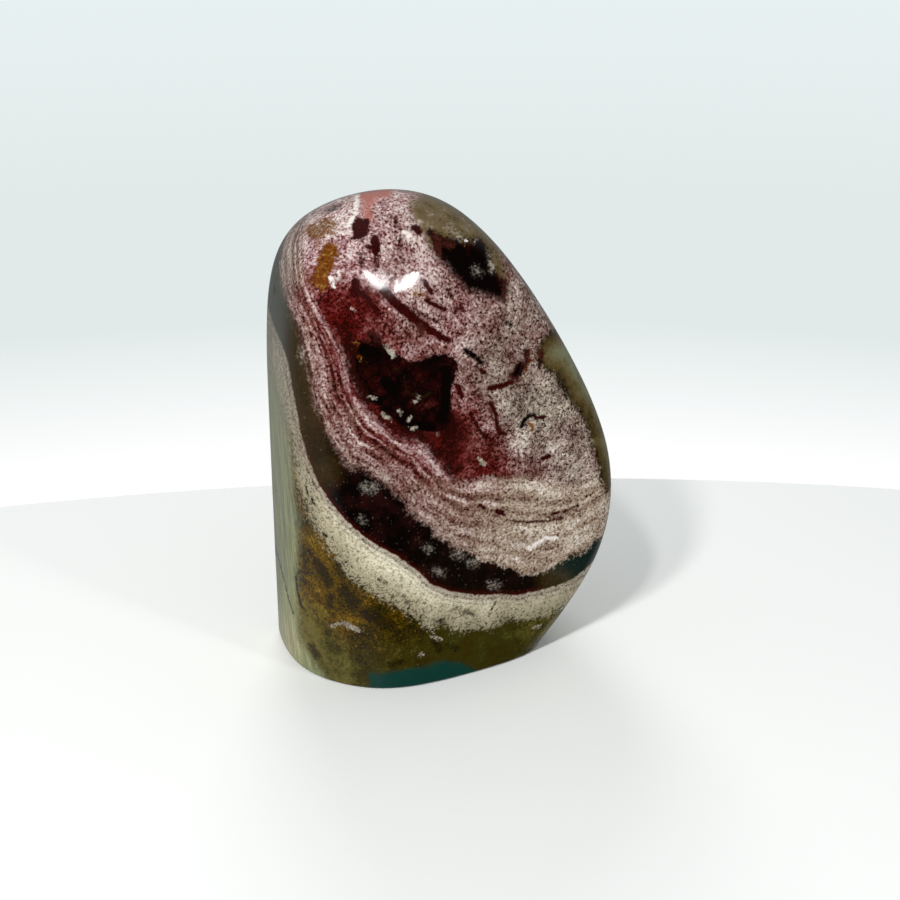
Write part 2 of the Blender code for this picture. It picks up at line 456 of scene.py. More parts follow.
class JasperPattern(bpy.types.PropertyGroup):
    grain: FloatProperty(name="Grain", description="Size of the mineral grains, in millimetres", default=0.62,
                         min=0.2, max=4)
    fray: FloatProperty(name="Fray", description="How far the edge of a band frays, in millimetres", default=0.5,
                        min=0, max=2)
    waver: FloatProperty(name="Waver", description="How far a band wavers, in millimetres", default=0.6, min=0,
                         max=3)
    deep_red: colour("Deep Red", "The darkest red, between the grains", "240604")
    crimson: colour("Crimson", "Iron-red jasper, where it is solid", "540d0a")
    dusky_red: colour("Dusky Red", "Red under the first white grains", "773a37")
    mauve: colour("Mauve", "The red seen through fine white quartz", "9a7679")
    pink: colour("Pink", "Pale grains in the red", "c4a9a8")
    quartz: colour("Quartz", "White grains and lines", "e6dcd6")
    umber: colour("Umber", "Dark specks in the grey part of the heart", "1c100c")
    stone_brown: colour("Stone Brown", "Between those specks and the grey", "54413a")
    stone_grey: colour("Stone Grey", "The grey part of the heart", "897a6e")
    stone_pale: colour("Stone Pale", "Pale grains in the grey", "b9ae9f")
    layer_rust: colour("Layer Rust", "Red-brown streaks in the pale layers", "4a2019")
    layer_tan: colour("Layer Tan", "Dark side of the pale layers", "826a5d")
    layer_beige: colour("Layer Beige", "The pale layers", "a99883")
    cream: colour("Cream", "The cream band", "b8ad93")
    cream_light: colour("Cream, Light", "Light grains in the cream band", "e8e0c8")
    cream_dark: colour("Cream, Dark", "Brownish grains in the cream band", "7d745c")
    near_black: colour("Near Black", "The dark band", "070302")
    maroon: colour("Maroon", "Red glow in the dark band", "220a08")
    clear_green: colour("Clear Green", "Where the dark band turns clear and grey-green", "403b29")
    clear_teal: colour("Clear Teal", "Its teal end on the right", "14231d")
    clear_brown: colour("Clear Brown", "Where it is only half clear", "453515")
    dark_olive: colour("Dark Olive", "Dark patches in the foot", "1d1606")
    olive: colour("Olive", "The foot of the stone", "382c03")
    ochre: colour("Ochre", "Brown patches in the foot", "5a3e02")
    khaki: colour("Khaki", "Pale patches in the foot", "7a6012")
    foot_green: colour("Foot Green", "The smooth green of the foot", "35330e")
    foot_pale: colour("Foot, Pale", "Yellowish green at the left of the foot", "6a5f2a")
    glint: colour("Glint", "Light grains in the brown foot", "a78940")
    crystal: colour("Crystal", "Small pale crystals", "b0a898")
    facet_pale: colour("Left Facet, Pale", "Pale streaks in the left side", "9f9f74")
    teal: colour("Teal", "The copper-green lens at the base", "123a32")
    facet: colour("Left Facet", "Grey-green of the left side", "7b7f5f")
    mustard: colour("Mustard", "Iron-yellow spots", "683407")
    salmon: colour("Salmon", "Smooth pink patch on the crown", "a4645a")
    chunk_red: colour("Chunk Red", "Dark red in the chunk", "240605")
    chunk_brown: colour("Chunk Brown", "Broken brown in the chunk", "4d332b")
    cap_brown: colour("Cap Brown", "Olive brown round the dark core of the cap", "57482a")
    cap_grey: colour("Cap Grey", "The clear grey-brown cap", "6a5b44")
    rim_khaki: colour("Rim Khaki", "The clear khaki along the right edge", "74745a")


class StudioSetting(bpy.types.PropertyGroup):
    table: colour("Table", "Pale table top", "f2f2f0")
    wall_top: colour("Wall, High", "Backdrop above the stone", "e9f2f2")
    wall_middle: colour("Wall, Middle", "Backdrop behind the stone", "e1eae9")
    wall_low: colour("Wall, Low", "Backdrop just above the table's edge", "ffffff")
    room_light: FloatProperty(name="Room Light", description="Strength of the light from all round", default=0.415,
                              min=0)
    window: FloatProperty(name="Window", description="Power of the soft light from the left",
                                default=2.05, min=0, subtype="POWER")
    back_light: FloatProperty(name="Back Light", description="Power of the light on the table behind the stone",
                              default=1.2, min=0, subtype="POWER")
    softbox: FloatProperty(name="Softbox", description="Power of the softbox beside the window", default=1.38,
                                 min=0, subtype="POWER")
    lamp_power: FloatProperty(name="Lamps", description="Power of each small lamp in front", default=0.36, min=0,
                              subtype="POWER")
    room_gloss: FloatProperty(name="Room Gloss", description="Strength of the room in the stone's gloss",
                              default=0.22, min=0)
    card_shade: FloatProperty(name="Dark Card", description="What is left of the room's gloss in front of the stone",
                              default=0.05, min=0, max=1, subtype="FACTOR")


def view_axes():
    """The drawing view's place, and its right, up and forward directions."""
    back = Vector((math.sin(VIEW_HEADING) * math.cos(VIEW_RISE), -math.cos(VIEW_HEADING) * math.cos(VIEW_RISE),
                   math.sin(VIEW_RISE)))
    right = Vector((math.cos(VIEW_HEADING), math.sin(VIEW_HEADING), 0))
    return VIEW_AIM + back * VIEW_DISTANCE, right, back.cross(right), -back


def ground_reach_group():
    """Node group: how far a point, measured from the heart, has come towards the surface. 1 is on it.

    Each ground face counts its own share, and a power sum blends them, which rolls the edges over.
    """
    tree = bpy.data.node_groups.new("Reach Of The Ground Faces", "GeometryNodeTree")
    tree.interface.new_socket("Reach", in_out="OUTPUT", socket_type="NodeSocketFloat")
    tree.interface.new_socket("Point", in_out="INPUT", socket_type="NodeSocketVector")
    tree.interface.new_socket("Edge Roll", in_out="INPUT", socket_type="NodeSocketFloat")
    for name in GROUND_FACES:
        tree.interface.new_socket(name, in_out="INPUT", socket_type="NodeSocketFloat")
    given = add(tree, "NodeGroupInput").outputs
    total = 0.0
    for name, (heading, tilt, _) in GROUND_FACES.items():
        turn, lean = math.radians(heading), math.radians(tilt)
        outward = (math.sin(turn) * math.cos(lean), -math.cos(turn) * math.cos(lean), math.sin(lean))
        along = add(tree, "ShaderNodeVectorMath", given["Point"], outward, operation="DOT_PRODUCT")
        share = add(tree, "ShaderNodeMath", along.outputs["Value"], given[name], **OVER)
        share = add(tree, "ShaderNodeMath", share, 0.0, operation="MAXIMUM")
        power = add(tree, "ShaderNodeMath", share, given["Edge Roll"], operation="POWER")
        total = add(tree, "ShaderNodeMath", power, total)
    root = add(tree, "ShaderNodeMath", 1.0, given["Edge Roll"], **OVER)
    add(tree, "NodeGroupOutput", add(tree, "ShaderNodeMath", total, root, operation="POWER"))
    return tree


def stone_tree(sizes, material):
    """Node tree of the stone: a cube's grid is moved onto the ground form, swayed a little, and pitted.

    The cube's underside becomes the saw cut, its first rows roll over the rim, its sides run up to the crown, and
    its top becomes the crown.
    """
    reach_group = ground_reach_group()
    tree = bpy.data.node_groups.new("Ground Stone", "GeometryNodeTree")
    tree.interface.new_socket("Geometry", in_out="OUTPUT", socket_type="NodeSocketGeometry")
    for name, value in sizes.items():
        kind = "NodeSocketInt" if isinstance(value, int) else "NodeSocketFloat"
        tree.interface.new_socket(name, in_out="INPUT", socket_type=kind).default_value = value

    put, maths, vectors = partial(add, tree), "ShaderNodeMath", "ShaderNodeVectorMath"
    given = put("NodeGroupInput").outputs
    reach_inputs = [given["Edge Roll"]] + [given[name] for name in GROUND_FACES]

    across = put(maths, given["Cells Across"], 1)
    up = put(maths, given["Cells Up"], 1)
    cube = put("GeometryNodeMeshCube", (2, 2, 2), across, across, up)
    cube_place = put("ShaderNodeSeparateXYZ", put("GeometryNodeInputPosition")).outputs
    off_x = put(maths, cube_place["X"], operation="ABSOLUTE")
    off_y = put(maths, cube_place["Y"], operation="ABSOLUTE")
    off_axis = put(maths, off_x, off_y, operation="MAXIMUM")
    share = put(maths, off_axis, 1e-5, operation="MAXIMUM")
    even_x = put(maths, put(maths, cube_place["X"], share, **OVER), math.pi / 4, **TIMES)
    even_x = put(maths, even_x, operation="TANGENT")
    even_y = put(maths, put(maths, cube_place["Y"], share, **OVER), -math.pi / 4, **TIMES)
    even_y = put(maths, even_y, operation="TANGENT")
    heading = put(maths, even_x, even_y, operation="ARCTAN2")
    level = put("ShaderNodeCombineXYZ", put(maths, heading, operation="SINE"),
                put(maths, put(maths, heading, operation="COSINE"), -1.0, **TIMES), 0.0)
    eased_floor = put(maths, given["Rim Easing"], given["Heart Height"], **MINUS)

    # the rim's distance from the upright axis, by halving an interval
    start = put("GeometryNodeRepeatInput")
    finish = put("GeometryNodeRepeatOutput")
    start.pair_with_output(finish)
    finish.repeat_items.clear()
    finish.repeat_items.new("FLOAT", "Near")
    finish.repeat_items.new("FLOAT", "Far")
    start.inputs["Iterations"].default_value = RIM_SEARCH_STEPS
    start.inputs["Near"].default_value = 0.0
    start.inputs["Far"].default_value = WIDEST
    near, far = start.outputs["Near"], start.outputs["Far"]
    halfway = put(maths, put(maths, near, far), 0.5, **TIMES)
    tried = put(vectors, level, halfway, operation="SCALE")
    tried = put(vectors, tried, put("ShaderNodeCombineXYZ", 0.0, 0.0, eased_floor))
    tried_reach = put("GeometryNodeGroup", tried, *reach_inputs, node_tree=reach_group)
    inside = put("FunctionNodeCompare", tried_reach, 1.0, operation="LESS_THAN")
    tree.links.new(put("GeometryNodeSwitch", inside, near, halfway, input_type="FLOAT").outputs[0],
                   finish.inputs["Near"])
    tree.links.new(put("GeometryNodeSwitch", inside, halfway, far, input_type="FLOAT").outputs[0],
                   finish.inputs["Far"])
    rim = put(maths, put(maths, finish.outputs["Near"], finish.outputs["Far"]), 0.5, **TIMES)

    # the sides and the crown: a direction for each point, and the surface in that direction
    rows = put(maths, put(maths, cube_place["Z"], 1.0), put(maths, given["Cells Up"], 0.5, **TIMES), **TIMES)
    above = put(maths, put(maths, rows, RIM_ROWS, **MINUS), put(maths, given["Cells Up"], RIM_ROWS, **MINUS), **OVER)
    rim_angle = put(maths, rim, put(maths, eased_floor, -1.0, **TIMES), operation="ARCTAN2")
    rim_angle = put(maths, math.pi, rim_angle, **MINUS)
    side_angle = put(maths, put(maths, given["Crown Angle"], rim_angle, **MINUS), above, **TIMES)
    side_angle = put(maths, rim_angle, side_angle)
    crown_angle = put(maths, given["Crown Angle"], off_axis, **TIMES)
    on_side = put(maths, off_axis, ON_EDGE, operation="GREATER_THAN")
    angle = put("GeometryNodeSwitch", on_side, crown_angle, side_angle, input_type="FLOAT")
    level_part = put(vectors, level, put(maths, angle, operation="SINE"), operation="SCALE")
    outward = put(vectors, level_part,
                  put("ShaderNodeCombineXYZ", 0.0, 0.0, put(maths, angle, operation="COSINE")))
    reach = put("GeometryNodeGroup", outward, *reach_inputs, node_tree=reach_group)
    surface = put(vectors, outward, put(maths, 1.0, reach, **OVER), operation="SCALE")

    # the eased rim: a quarter circle from the saw cut to the side
    turn = put(maths, put(maths, rows, RIM_ROWS, **OVER), 1.0, operation="MINIMUM")
    turn = put(maths, turn, math.pi / 2, **TIMES)
    drawn_in = put(maths, 1.0, put(maths, turn, operation="SINE"), **MINUS)
    drawn_in = put(maths, given["Rim Easing"], drawn_in, **TIMES)
    risen = put(maths, 1.0, put(maths, turn, operation="COSINE"), **MINUS)
    risen = put(maths, given["Rim Easing"], risen, **TIMES)
    rolled = put(vectors, level, put(maths, rim, drawn_in, **MINUS), operation="SCALE")
    rolled = put(vectors, rolled,
                 put("ShaderNodeCombineXYZ", 0.0, 0.0, put(maths, risen, given["Heart Height"], **MINUS)))

    # the saw cut
    sawn_radius = put(maths, rim, given["Rim Easing"], **MINUS)
    sawn = put(vectors, level, put(maths, sawn_radius, off_axis, **TIMES), operation="SCALE")
    sawn = put(vectors, sawn,
               put("ShaderNodeCombineXYZ", 0.0, 0.0, put(maths, given["Heart Height"], -1.0, **TIMES)))

    on_rim = put(maths, rows, RIM_ROWS - 0.01, operation="LESS_THAN")
    on_saw_cut = put(maths, cube_place["Z"], -ON_EDGE, operation="LESS_THAN")
    placed = put("GeometryNodeSwitch", on_rim, surface, rolled, input_type="VECTOR")
    placed = put("GeometryNodeSwitch", on_saw_cut, placed, sawn, input_type="VECTOR")
    lifted = put(vectors, placed,
                 put("ShaderNodeCombineXYZ", 0.0, 0.0, given["Heart Height"]))
    stone = put("GeometryNodeSetPosition", cube, None, lifted)

    # its box's middle over the origin
    box = put("GeometryNodeBoundBox", stone)
    middle = put(vectors, box.outputs["Min"], box.outputs["Max"])
    middle = put(vectors, middle, (-0.5, -0.5, 0.0), **TIMES)
    stone = put("GeometryNodeSetPosition", stone, None, None, middle)

    # the sway of a hand-held polish, and the pits, both fading out towards the rim of the base
    height = put("ShaderNodeSeparateXYZ", put("GeometryNodeInputPosition")).outputs["Z"]
    clear_of_rim = put("ShaderNodeMapRange", height, *RIM_TO_POLISH)
    sway = put("ShaderNodeTexNoise", None, given["Seed"], SWAY_SCALE, 1.0, noise_dimensions="4D")
    sway = put(maths, put(maths, sway, 0.5, **MINUS), given["Sway"], **TIMES)
    faces = put("GeometryNodeInputMeshFaceArea")
    area = put("GeometryNodeAttributeStatistic", stone, None, faces, domain="FACE").outputs["Sum"]
    spots = put("GeometryNodeDistributePointsOnFaces", stone, None, put(maths, given["Pits"], area, **OVER),
                given["Seed"])
    nearest = put("GeometryNodeProximity", spots, target_element="POINTS").outputs["Distance"]
    hollow = put("ShaderNodeMapRange", nearest, 0.0, given["Pit Radius"], given["Pit Depth"], 0.0, **SOFT)
    inward = put(maths, sway, hollow, **MINUS)
    inward = put(maths, inward, clear_of_rim, **TIMES)
    normal = put("GeometryNodeInputNormal")
    shift = put(vectors, normal, inward, operation="SCALE")
    stone = put("GeometryNodeSetPosition", stone, None, None, shift)

    stone = put("GeometryNodeSetShadeSmooth", stone)
    stone = put("GeometryNodeRealizeInstances", stone)
    stone = put("GeometryNodeSetMaterial", stone, None, material)
    put("NodeGroupOutput", stone)
    return tree


def grown(name, tree, values):
    """A plain mesh object grown from a node tree. The values go to the tree's inputs by their identifiers."""
    seedling = bpy.data.objects.new(name, bpy.data.meshes.new(name))
    bpy.context.scene.collection.objects.link(seedling)
    modifier = seedling.modifiers.new("grown", "NODES")
    modifier.node_group = tree
    for item in tree.interface.items_tree:
        if item.in_out == "INPUT" and item.name in values:
            modifier[item.identifier] = values[item.name]
    evaluated = seedling.evaluated_get(bpy.context.evaluated_depsgraph_get())
    mesh = bpy.data.meshes.new_from_object(evaluated)
    seedling.modifiers.remove(modifier)
    seedling.data = mesh
    mesh.name = name
    return seedling


def drawn_places(points, hidden_depth):
    """Where each point lies in the drawing view, in pixels. Points behind the stone drift on into its depth."""
    eye, right, up, forward = view_axes()
    offset = points - np.array(eye)
    depth = offset @ np.array(forward)
    scale = PICTURE / 2 / math.tan(VIEW_FIELD / 2)
    places = np.column_stack((PICTURE / 2 + scale * (offset @ np.array(right)) / depth,
                              PICTURE / 2 - scale * (offset @ np.array(up)) / depth))
    places += hidden_depth[:, None] * np.array(DRIFT_INTO_DEPTH)
    for direction, bend_reach, (pace_x, pace_z), phase in BENDS:
        wave = np.sin(points[:, 0] * pace_x + points[:, 2] * pace_z + phase)
        places[:, direction] += np.minimum(hidden_depth, BEND_DEPTH) * bend_reach * wave
    return places


def hidden_depths(mesh, points):
    """How deep behind the stone's visible side each point lies, in millimetres, seen from the drawing view."""
    eye = Vector(view_axes()[0])
    polygons = [tuple(polygon.vertices) for polygon in mesh.polygons]
    tree = BVHTree.FromPolygons([Vector(point) for point in points], polygons)
    depths = np.zeros(len(points))
    for place, point in enumerate(points):
        target = Vector(point)
        towards = (target - eye).normalized()
        hit = tree.ray_cast(eye, towards)[0]
        if hit is not None:
            depths[place] = max((target - hit).dot(towards), 0.0)
    return depths


def distance_to_line(places, line):
    """Distance in pixels from each place to a line through points."""
    nearest = np.full(len(places), np.inf)
    for start, end in zip(line[:-1], line[1:]):
        start, end = np.array(start, float), np.array(end, float)
        along = end - start
        share = np.clip((places - start) @ along / max(along @ along, 1e-9), 0, 1)
        nearest = np.minimum(nearest, np.hypot(*(places - start - share[:, None] * along).T))
    return nearest


def inside_outline(places, outline):
    """Which places lie inside a closed outline, by counting its crossings to the right of each."""
    inside = np.zeros(len(places), bool)
    x, y = places.T
    for (x1, y1), (x2, y2) in zip(outline, outline[1:] + outline[:1]):
        if y1 == y2:
            continue
        crosses = (y1 > y) != (y2 > y)
        inside ^= crosses & (x < x1 + (y - y1) / (y2 - y1) * (x2 - x1))
    return inside


def side_of_band(places, line):
    """Distance in millimetres from a band's boundary, positive on the heart's side of it."""
    distance = distance_to_line(places, line) / PIXELS_PER_MM
    return np.where(inside_outline(places, line + (OFF_PICTURE,)), distance, -distance)


def inside_area(places, area):
    """Distance in millimetres from an area's outline, positive inside it."""
    distance = distance_to_line(places, area + area[:1]) / PIXELS_PER_MM
    return np.where(inside_outline(places, area), distance, -distance)


def inside_marks(places, marks):
    """Distance in millimetres from the nearest mark's edge, positive inside it."""
    return np.max([width - distance_to_line(places, line) / PIXELS_PER_MM for width, line in marks.values()], axis=0)


def blended(places, values):
    """A slow blend of the values given at a few places."""
    total, weights = np.zeros(len(places)), np.full(len(places), 1e-12)
    for centre, spread, value in values.values():
        weight = np.exp(-((places - np.array(centre)) ** 2).sum(axis=1) / (2 * spread**2)) + 1e-9 / spread
        total += weight * value
        weights += weight
    return total / weights


def draw_pattern(mesh):
    """Stores the stone's pattern on its mesh, one attribute for each band boundary and kind of mark."""
    points = np.empty(len(mesh.vertices) * 3)
    mesh.vertices.foreach_get("co", points)
    points = points.reshape(-1, 3) / MM
    hidden = hidden_depths(mesh, points)
    places = drawn_places(points, hidden)

    fields = {name: side_of_band(places, line) for name, line in BANDS.items()}
    inner, heart = fields["dark_band_inner"], fields["heart_edge"]
    fields["layer_share"] = np.clip(inner / np.maximum(inner - heart, 0.5), -0.5, 1.5)
    fields.update({name: inside_marks(places, marks) for name, marks in MARKS.items()})
    fields.update({name: inside_area(places, area) for name, area in AREAS.items()})
    for name in (*MARKS, *AREAS):
        fields[name] -= SLOW_FADES.get(name, FADE) * hidden
    fields.update({name: blended(places, values) for name, values in TONES.items()})
    for name in PATTERN_FIELDS:
        values = fields[name].astype(np.float32)
        mesh.attributes.new(name, "FLOAT", "POINT").data.foreach_set("value", values)


def polished_jasper(look):
    """Banded jasper: iron-stained chalcedony, sawn, ground and polished.

    It gives the eye opaque colour in grains and layers, right up to the surface, under a clear wet gloss with small
    sharp highlights.
    """
    material = bpy.data.materials.new("polished_banded_jasper")
    material.use_nodes = True
    tree = material.node_tree
    shader = tree.nodes["Principled BSDF"]
    put = partial(add, tree)
    noise, maths, ramp = "ShaderNodeTexNoise", "ShaderNodeMath", "ShaderNodeValToRGB"
    step, mix = "ShaderNodeMapRange", "ShaderNodeMix"
    drawn = {name: put("ShaderNodeAttribute", attribute_name=name).outputs["Fac"] for name in PATTERN_FIELDS}
    place = put("ShaderNodeVectorMath", put("ShaderNodeTexCoord").outputs["Object"], 1 / MM, operation="SCALE")

    # Sizes in millimetres: the scale of a noise is one over its size.
    slow = put(noise, place, 1 / 9, 2.0, 0.5)
    patches = put(noise, place, 1 / 4.0, 3.0, 0.6)
    waver = put(noise, place, 1 / 3.2, 2.0, 0.5)
    fray = put(noise, place, 1 / 0.9, 4.0, 0.7)
    grain = put(noise, place, 1 / look.grain, 5.0, 0.8)
    speckle = put(maths, grain, 3.6, -1.8, **PLUS)
    blotch = put(maths, patches, 2.4, -1.2, **PLUS)
    bent = put("ShaderNodeVectorMath", fray.outputs["Color"], (0.8, 0.8, 0.8), place, **PLUS)
    crystal = put("ShaderNodeSeparateColor", put("ShaderNodeTexVoronoi", bent, 1 / 0.42).outputs["Color"])
    crystal = put(maths, crystal, 0.5, **MINUS)
    dark_specks = put(step, put(noise, bent, 1 / 0.42, 2.0, 0.6), 0.53, 0.62)
    pepper = put(step, put(noise, bent, 1 / 0.8, 2.0, 0.5), 0.60, 0.67, **SOFT)
    salt = put(step, put(noise, bent, 1 / 0.42, 1.0, 0.5), 0.31, 0.24, **SOFT)
    frayed = put(maths, fray, 4 * look.fray, -2 * look.fray, **PLUS)
    wander = put(maths, waver, 2 * look.waver, put(maths, frayed, look.waver, **MINUS), **PLUS)
    crumble = put(maths, speckle, 0.8, frayed, **PLUS)
    tight = put(maths, crumble, 0.45, **TIMES)
    ragged = put(maths, crumble, 1.2, wander, **PLUS)

    def laid(under, edge, over, softness, wandering):
        """One colour laid over another, up to a drawn edge."""
        share = put(step, put(maths, edge, wandering), -softness, softness, **SOFT)
        return put(mix, share, under, over, **HUE)

    # the grains that every band has, and what they do to its tone
    grains = put(maths, speckle, 0.28, put(maths, crystal, 0.30, **TIMES), **PLUS)
    grains = put(maths, dark_specks, -0.50, grains, **PLUS)
    grains = put(maths, pepper, -0.20, grains, **PLUS)

    def mottled(tone, by_blotch, by_grain):
        """A tone that the patches and the grains make lighter and darker."""
        return put(maths, grains, by_grain, put(maths, blotch, by_blotch, tone, **PLUS), **PLUS)

    # the heart: red or grey grains, lighter or darker by place, and weaker where it is solid red
    strength = put(step, drawn["heart_light"], 0.05, 0.42, 0.35, 1.0)
    light = put(maths, blotch, 0.42, drawn["heart_light"], **PLUS)
    light = put(maths, frayed, 0.10, put(maths, light, -0.02), **PLUS)
    light = put(maths, grains, strength, light, **PLUS)
    reds = ((0.0, look.deep_red), (0.2, look.crimson), (0.40, look.dusky_red), (0.58, look.mauve),
            (0.76, look.pink), (1.0, look.quartz))
    greys = ((0.0, look.umber), (0.28, look.stone_brown), (0.55, look.stone_grey), (0.78, look.stone_pale),
             (1.0, look.quartz))
    greyness = put(step, put(maths, drawn["heart_grey"], put(maths, slow, -0.5)), -0.1, 1.0)
    heart = put(mix, greyness, put(ramp, light, stops=reds), put(ramp, light, stops=greys), **HUE)

    # the layers round the heart: dusty mauve outside, then crimson, then a pale line, all drawn out along the bands
    share = put(maths, wander, 0.05, drawn["layer_share"], **PLUS)
    lines = put(ramp, share, stops=grey_stops(LAYER_LINES))
    along = put("ShaderNodeSeparateXYZ", put("ShaderNodeVectorMath", place, 1 / 8, operation="SCALE")).outputs
    laminae = put("ShaderNodeCombineXYZ", put(maths, share, 8.0, **TIMES), along["X"], along["Z"])
    streaks = put(noise, laminae, 1.0, 4.0, 0.66)
    streak = put(maths, streaks, 1.5, -0.75, **PLUS)
    hair = put(maths, put(maths, streaks, 0.5, **MINUS), operation="ABSOLUTE")
    hair = put(maths, put(step, hair, 0.012, 0.0), put(step, waver, 0.42, 0.55), **TIMES)
    layer_light = put(maths, lines, streak)
    layer_light = put(maths, hair, 0.26, layer_light, **PLUS)
    layer_light = put(maths, grains, 0.76, layer_light, **PLUS)
    pale_light = put(maths, layer_light, 0.60, 0.40, **PLUS)
    pale_light = put(maths, grains, 0.30, pale_light, **PLUS)
    pale_stops = ((0.0, look.deep_red), (0.25, look.layer_rust), (0.45, look.layer_tan), (0.68, look.layer_beige),
                  (1.0, look.quartz))
    paleness = put(maths, put(maths, patches, 0.5, **MINUS), drawn["layer_paleness"])
    dusty = put(mix, put(step, share, 0.9, 0.0, 0.08, 0.60), put(ramp, layer_light, stops=reds),
                put(ramp, layer_light, stops=greys), **HUE)
    layers = put(mix, put(step, paleness, 0.0, 0.9), dusty, put(ramp, pale_light, stops=pale_stops), **HUE)

    # the dark band, clear and green at its ends, with a crimson rim and pale dust
    band = put(mix, put(step, blotch, -0.1, 0.5), look.near_black, look.maroon, **HUE)
    rim = put(step, put(maths, wander, 0.4, drawn["dark_band_outer"], **PLUS), 1.0, 0.0, 0.0, 0.4)
    rim = put(maths, rim, put(step, drawn["clearness"], 0.8, 0.2), **TIMES)
    band = put(mix, rim, band, look.crimson, **HUE)
    clear = put(maths, put(step, frayed, -0.5, 0.5, 0.4, 1.0), drawn["clearness"], **TIMES)
    clear_hue = put(ramp, put(step, drawn["clearness"], 0.0, 1.4),
                    stops=((0.45, look.clear_brown), (0.7, look.clear_green), (1.0, look.clear_teal)))
    band = put(mix, clear, band, clear_hue, **HUE)
    band = put(mix, put(maths, salt, 0.35, **TIMES), band, look.stone_grey, **HUE)

    # the cream band: browner towards the foot, peppered, and with thin mauve lines along the dark band
    cream_light = put(step, drawn["olive_edge"], 0.0, 7.0, 0.34, 0.90)
    cream_light = put(maths, speckle, 0.22, cream_light, **PLUS)
    cream_light = put(maths, put(maths, dark_specks, pepper, operation="MAXIMUM"), -0.34, cream_light, **PLUS)
    cream_light = put(maths, blotch, 0.16, cream_light, **PLUS)
    cream = put(ramp, cream_light, stops=((0.0, look.dark_olive), (0.25, look.cream_dark), (0.6, look.cream),
                                          (0.9, look.cream_light)))
    outer = put(maths, wander, 0.5, drawn["dark_band_outer"], **PLUS)
    edge_lines = put(ramp, put(step, outer, -3.0, 0.0), stops=grey_stops(EDGE_LINES))
    cream = put(mix, edge_lines, cream, put(ramp, put(maths, grains, 0.8, 0.55, **PLUS), stops=greys), **HUE)

    # the foot, golden brown and grainy or smooth and green, and the grey-green left side
    foot = put(ramp, mottled(drawn["foot_tone"], 0.60, 0.88),
               stops=((0.0, look.dark_olive), (0.35, look.olive), (0.62, look.ochre), (0.9, look.khaki),
                      (1.0, look.glint)))
    foot = put(mix, put(maths, salt, 0.6, **TIMES), foot, look.glint, **HUE)
    green = put(maths, blotch, 0.35, drawn["foot_green"], **PLUS)
    smooth_foot = put(ramp, mottled(drawn["foot_tone"], 0.40, 0.34),
                      stops=((0.1, look.olive), (0.42, look.foot_green), (0.75, look.foot_pale),
                             (1.0, look.cap_grey)))
    foot = put(mix, put(step, green, 0.2, 0.9), foot, smooth_foot, **HUE)
    upright = put("ShaderNodeVectorMath", place, (0.9, 0.9, 0.09), **TIMES)
    stripes = put(maths, put(noise, upright, 1.0, 5.0, 0.7), 2.0, -0.95, **PLUS)
    stripes = put(maths, drawn["foot_tone"], 0.8, stripes, **PLUS)
    side = put(ramp, stripes, stops=((0.0, look.clear_green), (0.4, look.facet), (0.8, look.facet_pale),
                                     (1.0, look.cream)))
    left_of_edge = put(maths, drawn["left_facet_edge"], -1.0, **TIMES)
    foot = laid(foot, left_of_edge, side, 1.2, crumble)
    foot = laid(foot, drawn["teal"], look.teal, 0.7, wander)

    surface = laid(foot, drawn["olive_edge"], cream, 0.6, ragged)
    surface = laid(surface, drawn["dark_band_outer"], band, 0.15, put(maths, wander, 0.4, **TIMES))
    # the layers fade into the dark band on the left, and end more sharply on the right
    inner = put(maths, drawn["dark_band_inner"], put(maths, crumble, 0.6, wander, **PLUS))
    inner = put(maths, inner, put(step, drawn["layer_paleness"], 0.0, 0.8, 0.35, 1.0), **TIMES)
    surface = laid(surface, inner, layers, 0.35, 0.0)
    surface = laid(surface, drawn["heart_edge"], heart, 1.2, ragged)
    # The dark olive marks are the stone's own dark patches, except one, which is painted shade in a pit.
    olive_spots = put(mix, 0.8, surface, look.dark_olive, **HUE)
    surface = laid(surface, drawn["dark_olive"], olive_spots, 0.4, put(maths, crumble, 1.3, **TIMES))

    # the clear cap at the top right, reddish and then dark in its core
    cap_tone = mottled(put(step, drawn["cap_core"], 1.0, -3.5, 0.0, 0.68), 0.50, 0.32)
    cap = put(ramp, cap_tone, stops=((0.0, look.near_black), (0.16, look.near_black), (0.28, look.chunk_red),
                                     (0.45, look.cap_brown), (0.78, look.cap_grey), (1.0, look.stone_pale)))
    surface = laid(surface, drawn["cap"], cap, 1.3, crumble)
    rim_olive = mottled(put(step, drawn["right_olive"], 0.0, 4.5, 0.12, 0.88), 0.38, 0.25)
    rim_olive = put(maths, put(step, drawn["right_olive"], 7.0, 12.0), -0.4, rim_olive, **PLUS)
    rim_olive = put(ramp, rim_olive, stops=((0.1, look.dark_olive), (0.45, look.cap_brown), (0.9, look.rim_khaki)))
    surface = laid(surface, drawn["right_olive"], rim_olive, 0.5, ragged)

    # the dark chunk, broken into dark red, brown and near-black pieces
    chunk = put(ramp, mottled(0.30, 0.55, 0.40),
                stops=((0.1, look.near_black), (0.42, look.chunk_red), (0.75, look.layer_rust),
                       (1.0, look.chunk_brown)))
    cracks = put("ShaderNodeTexVoronoi", bent, 1 / 2.6, feature="DISTANCE_TO_EDGE")
    chunk = put(mix, put(step, cracks, 0.07, 0.01), chunk, look.near_black, **HUE)
    surface = laid(surface, drawn["chunk"], chunk, 0.25, wander)

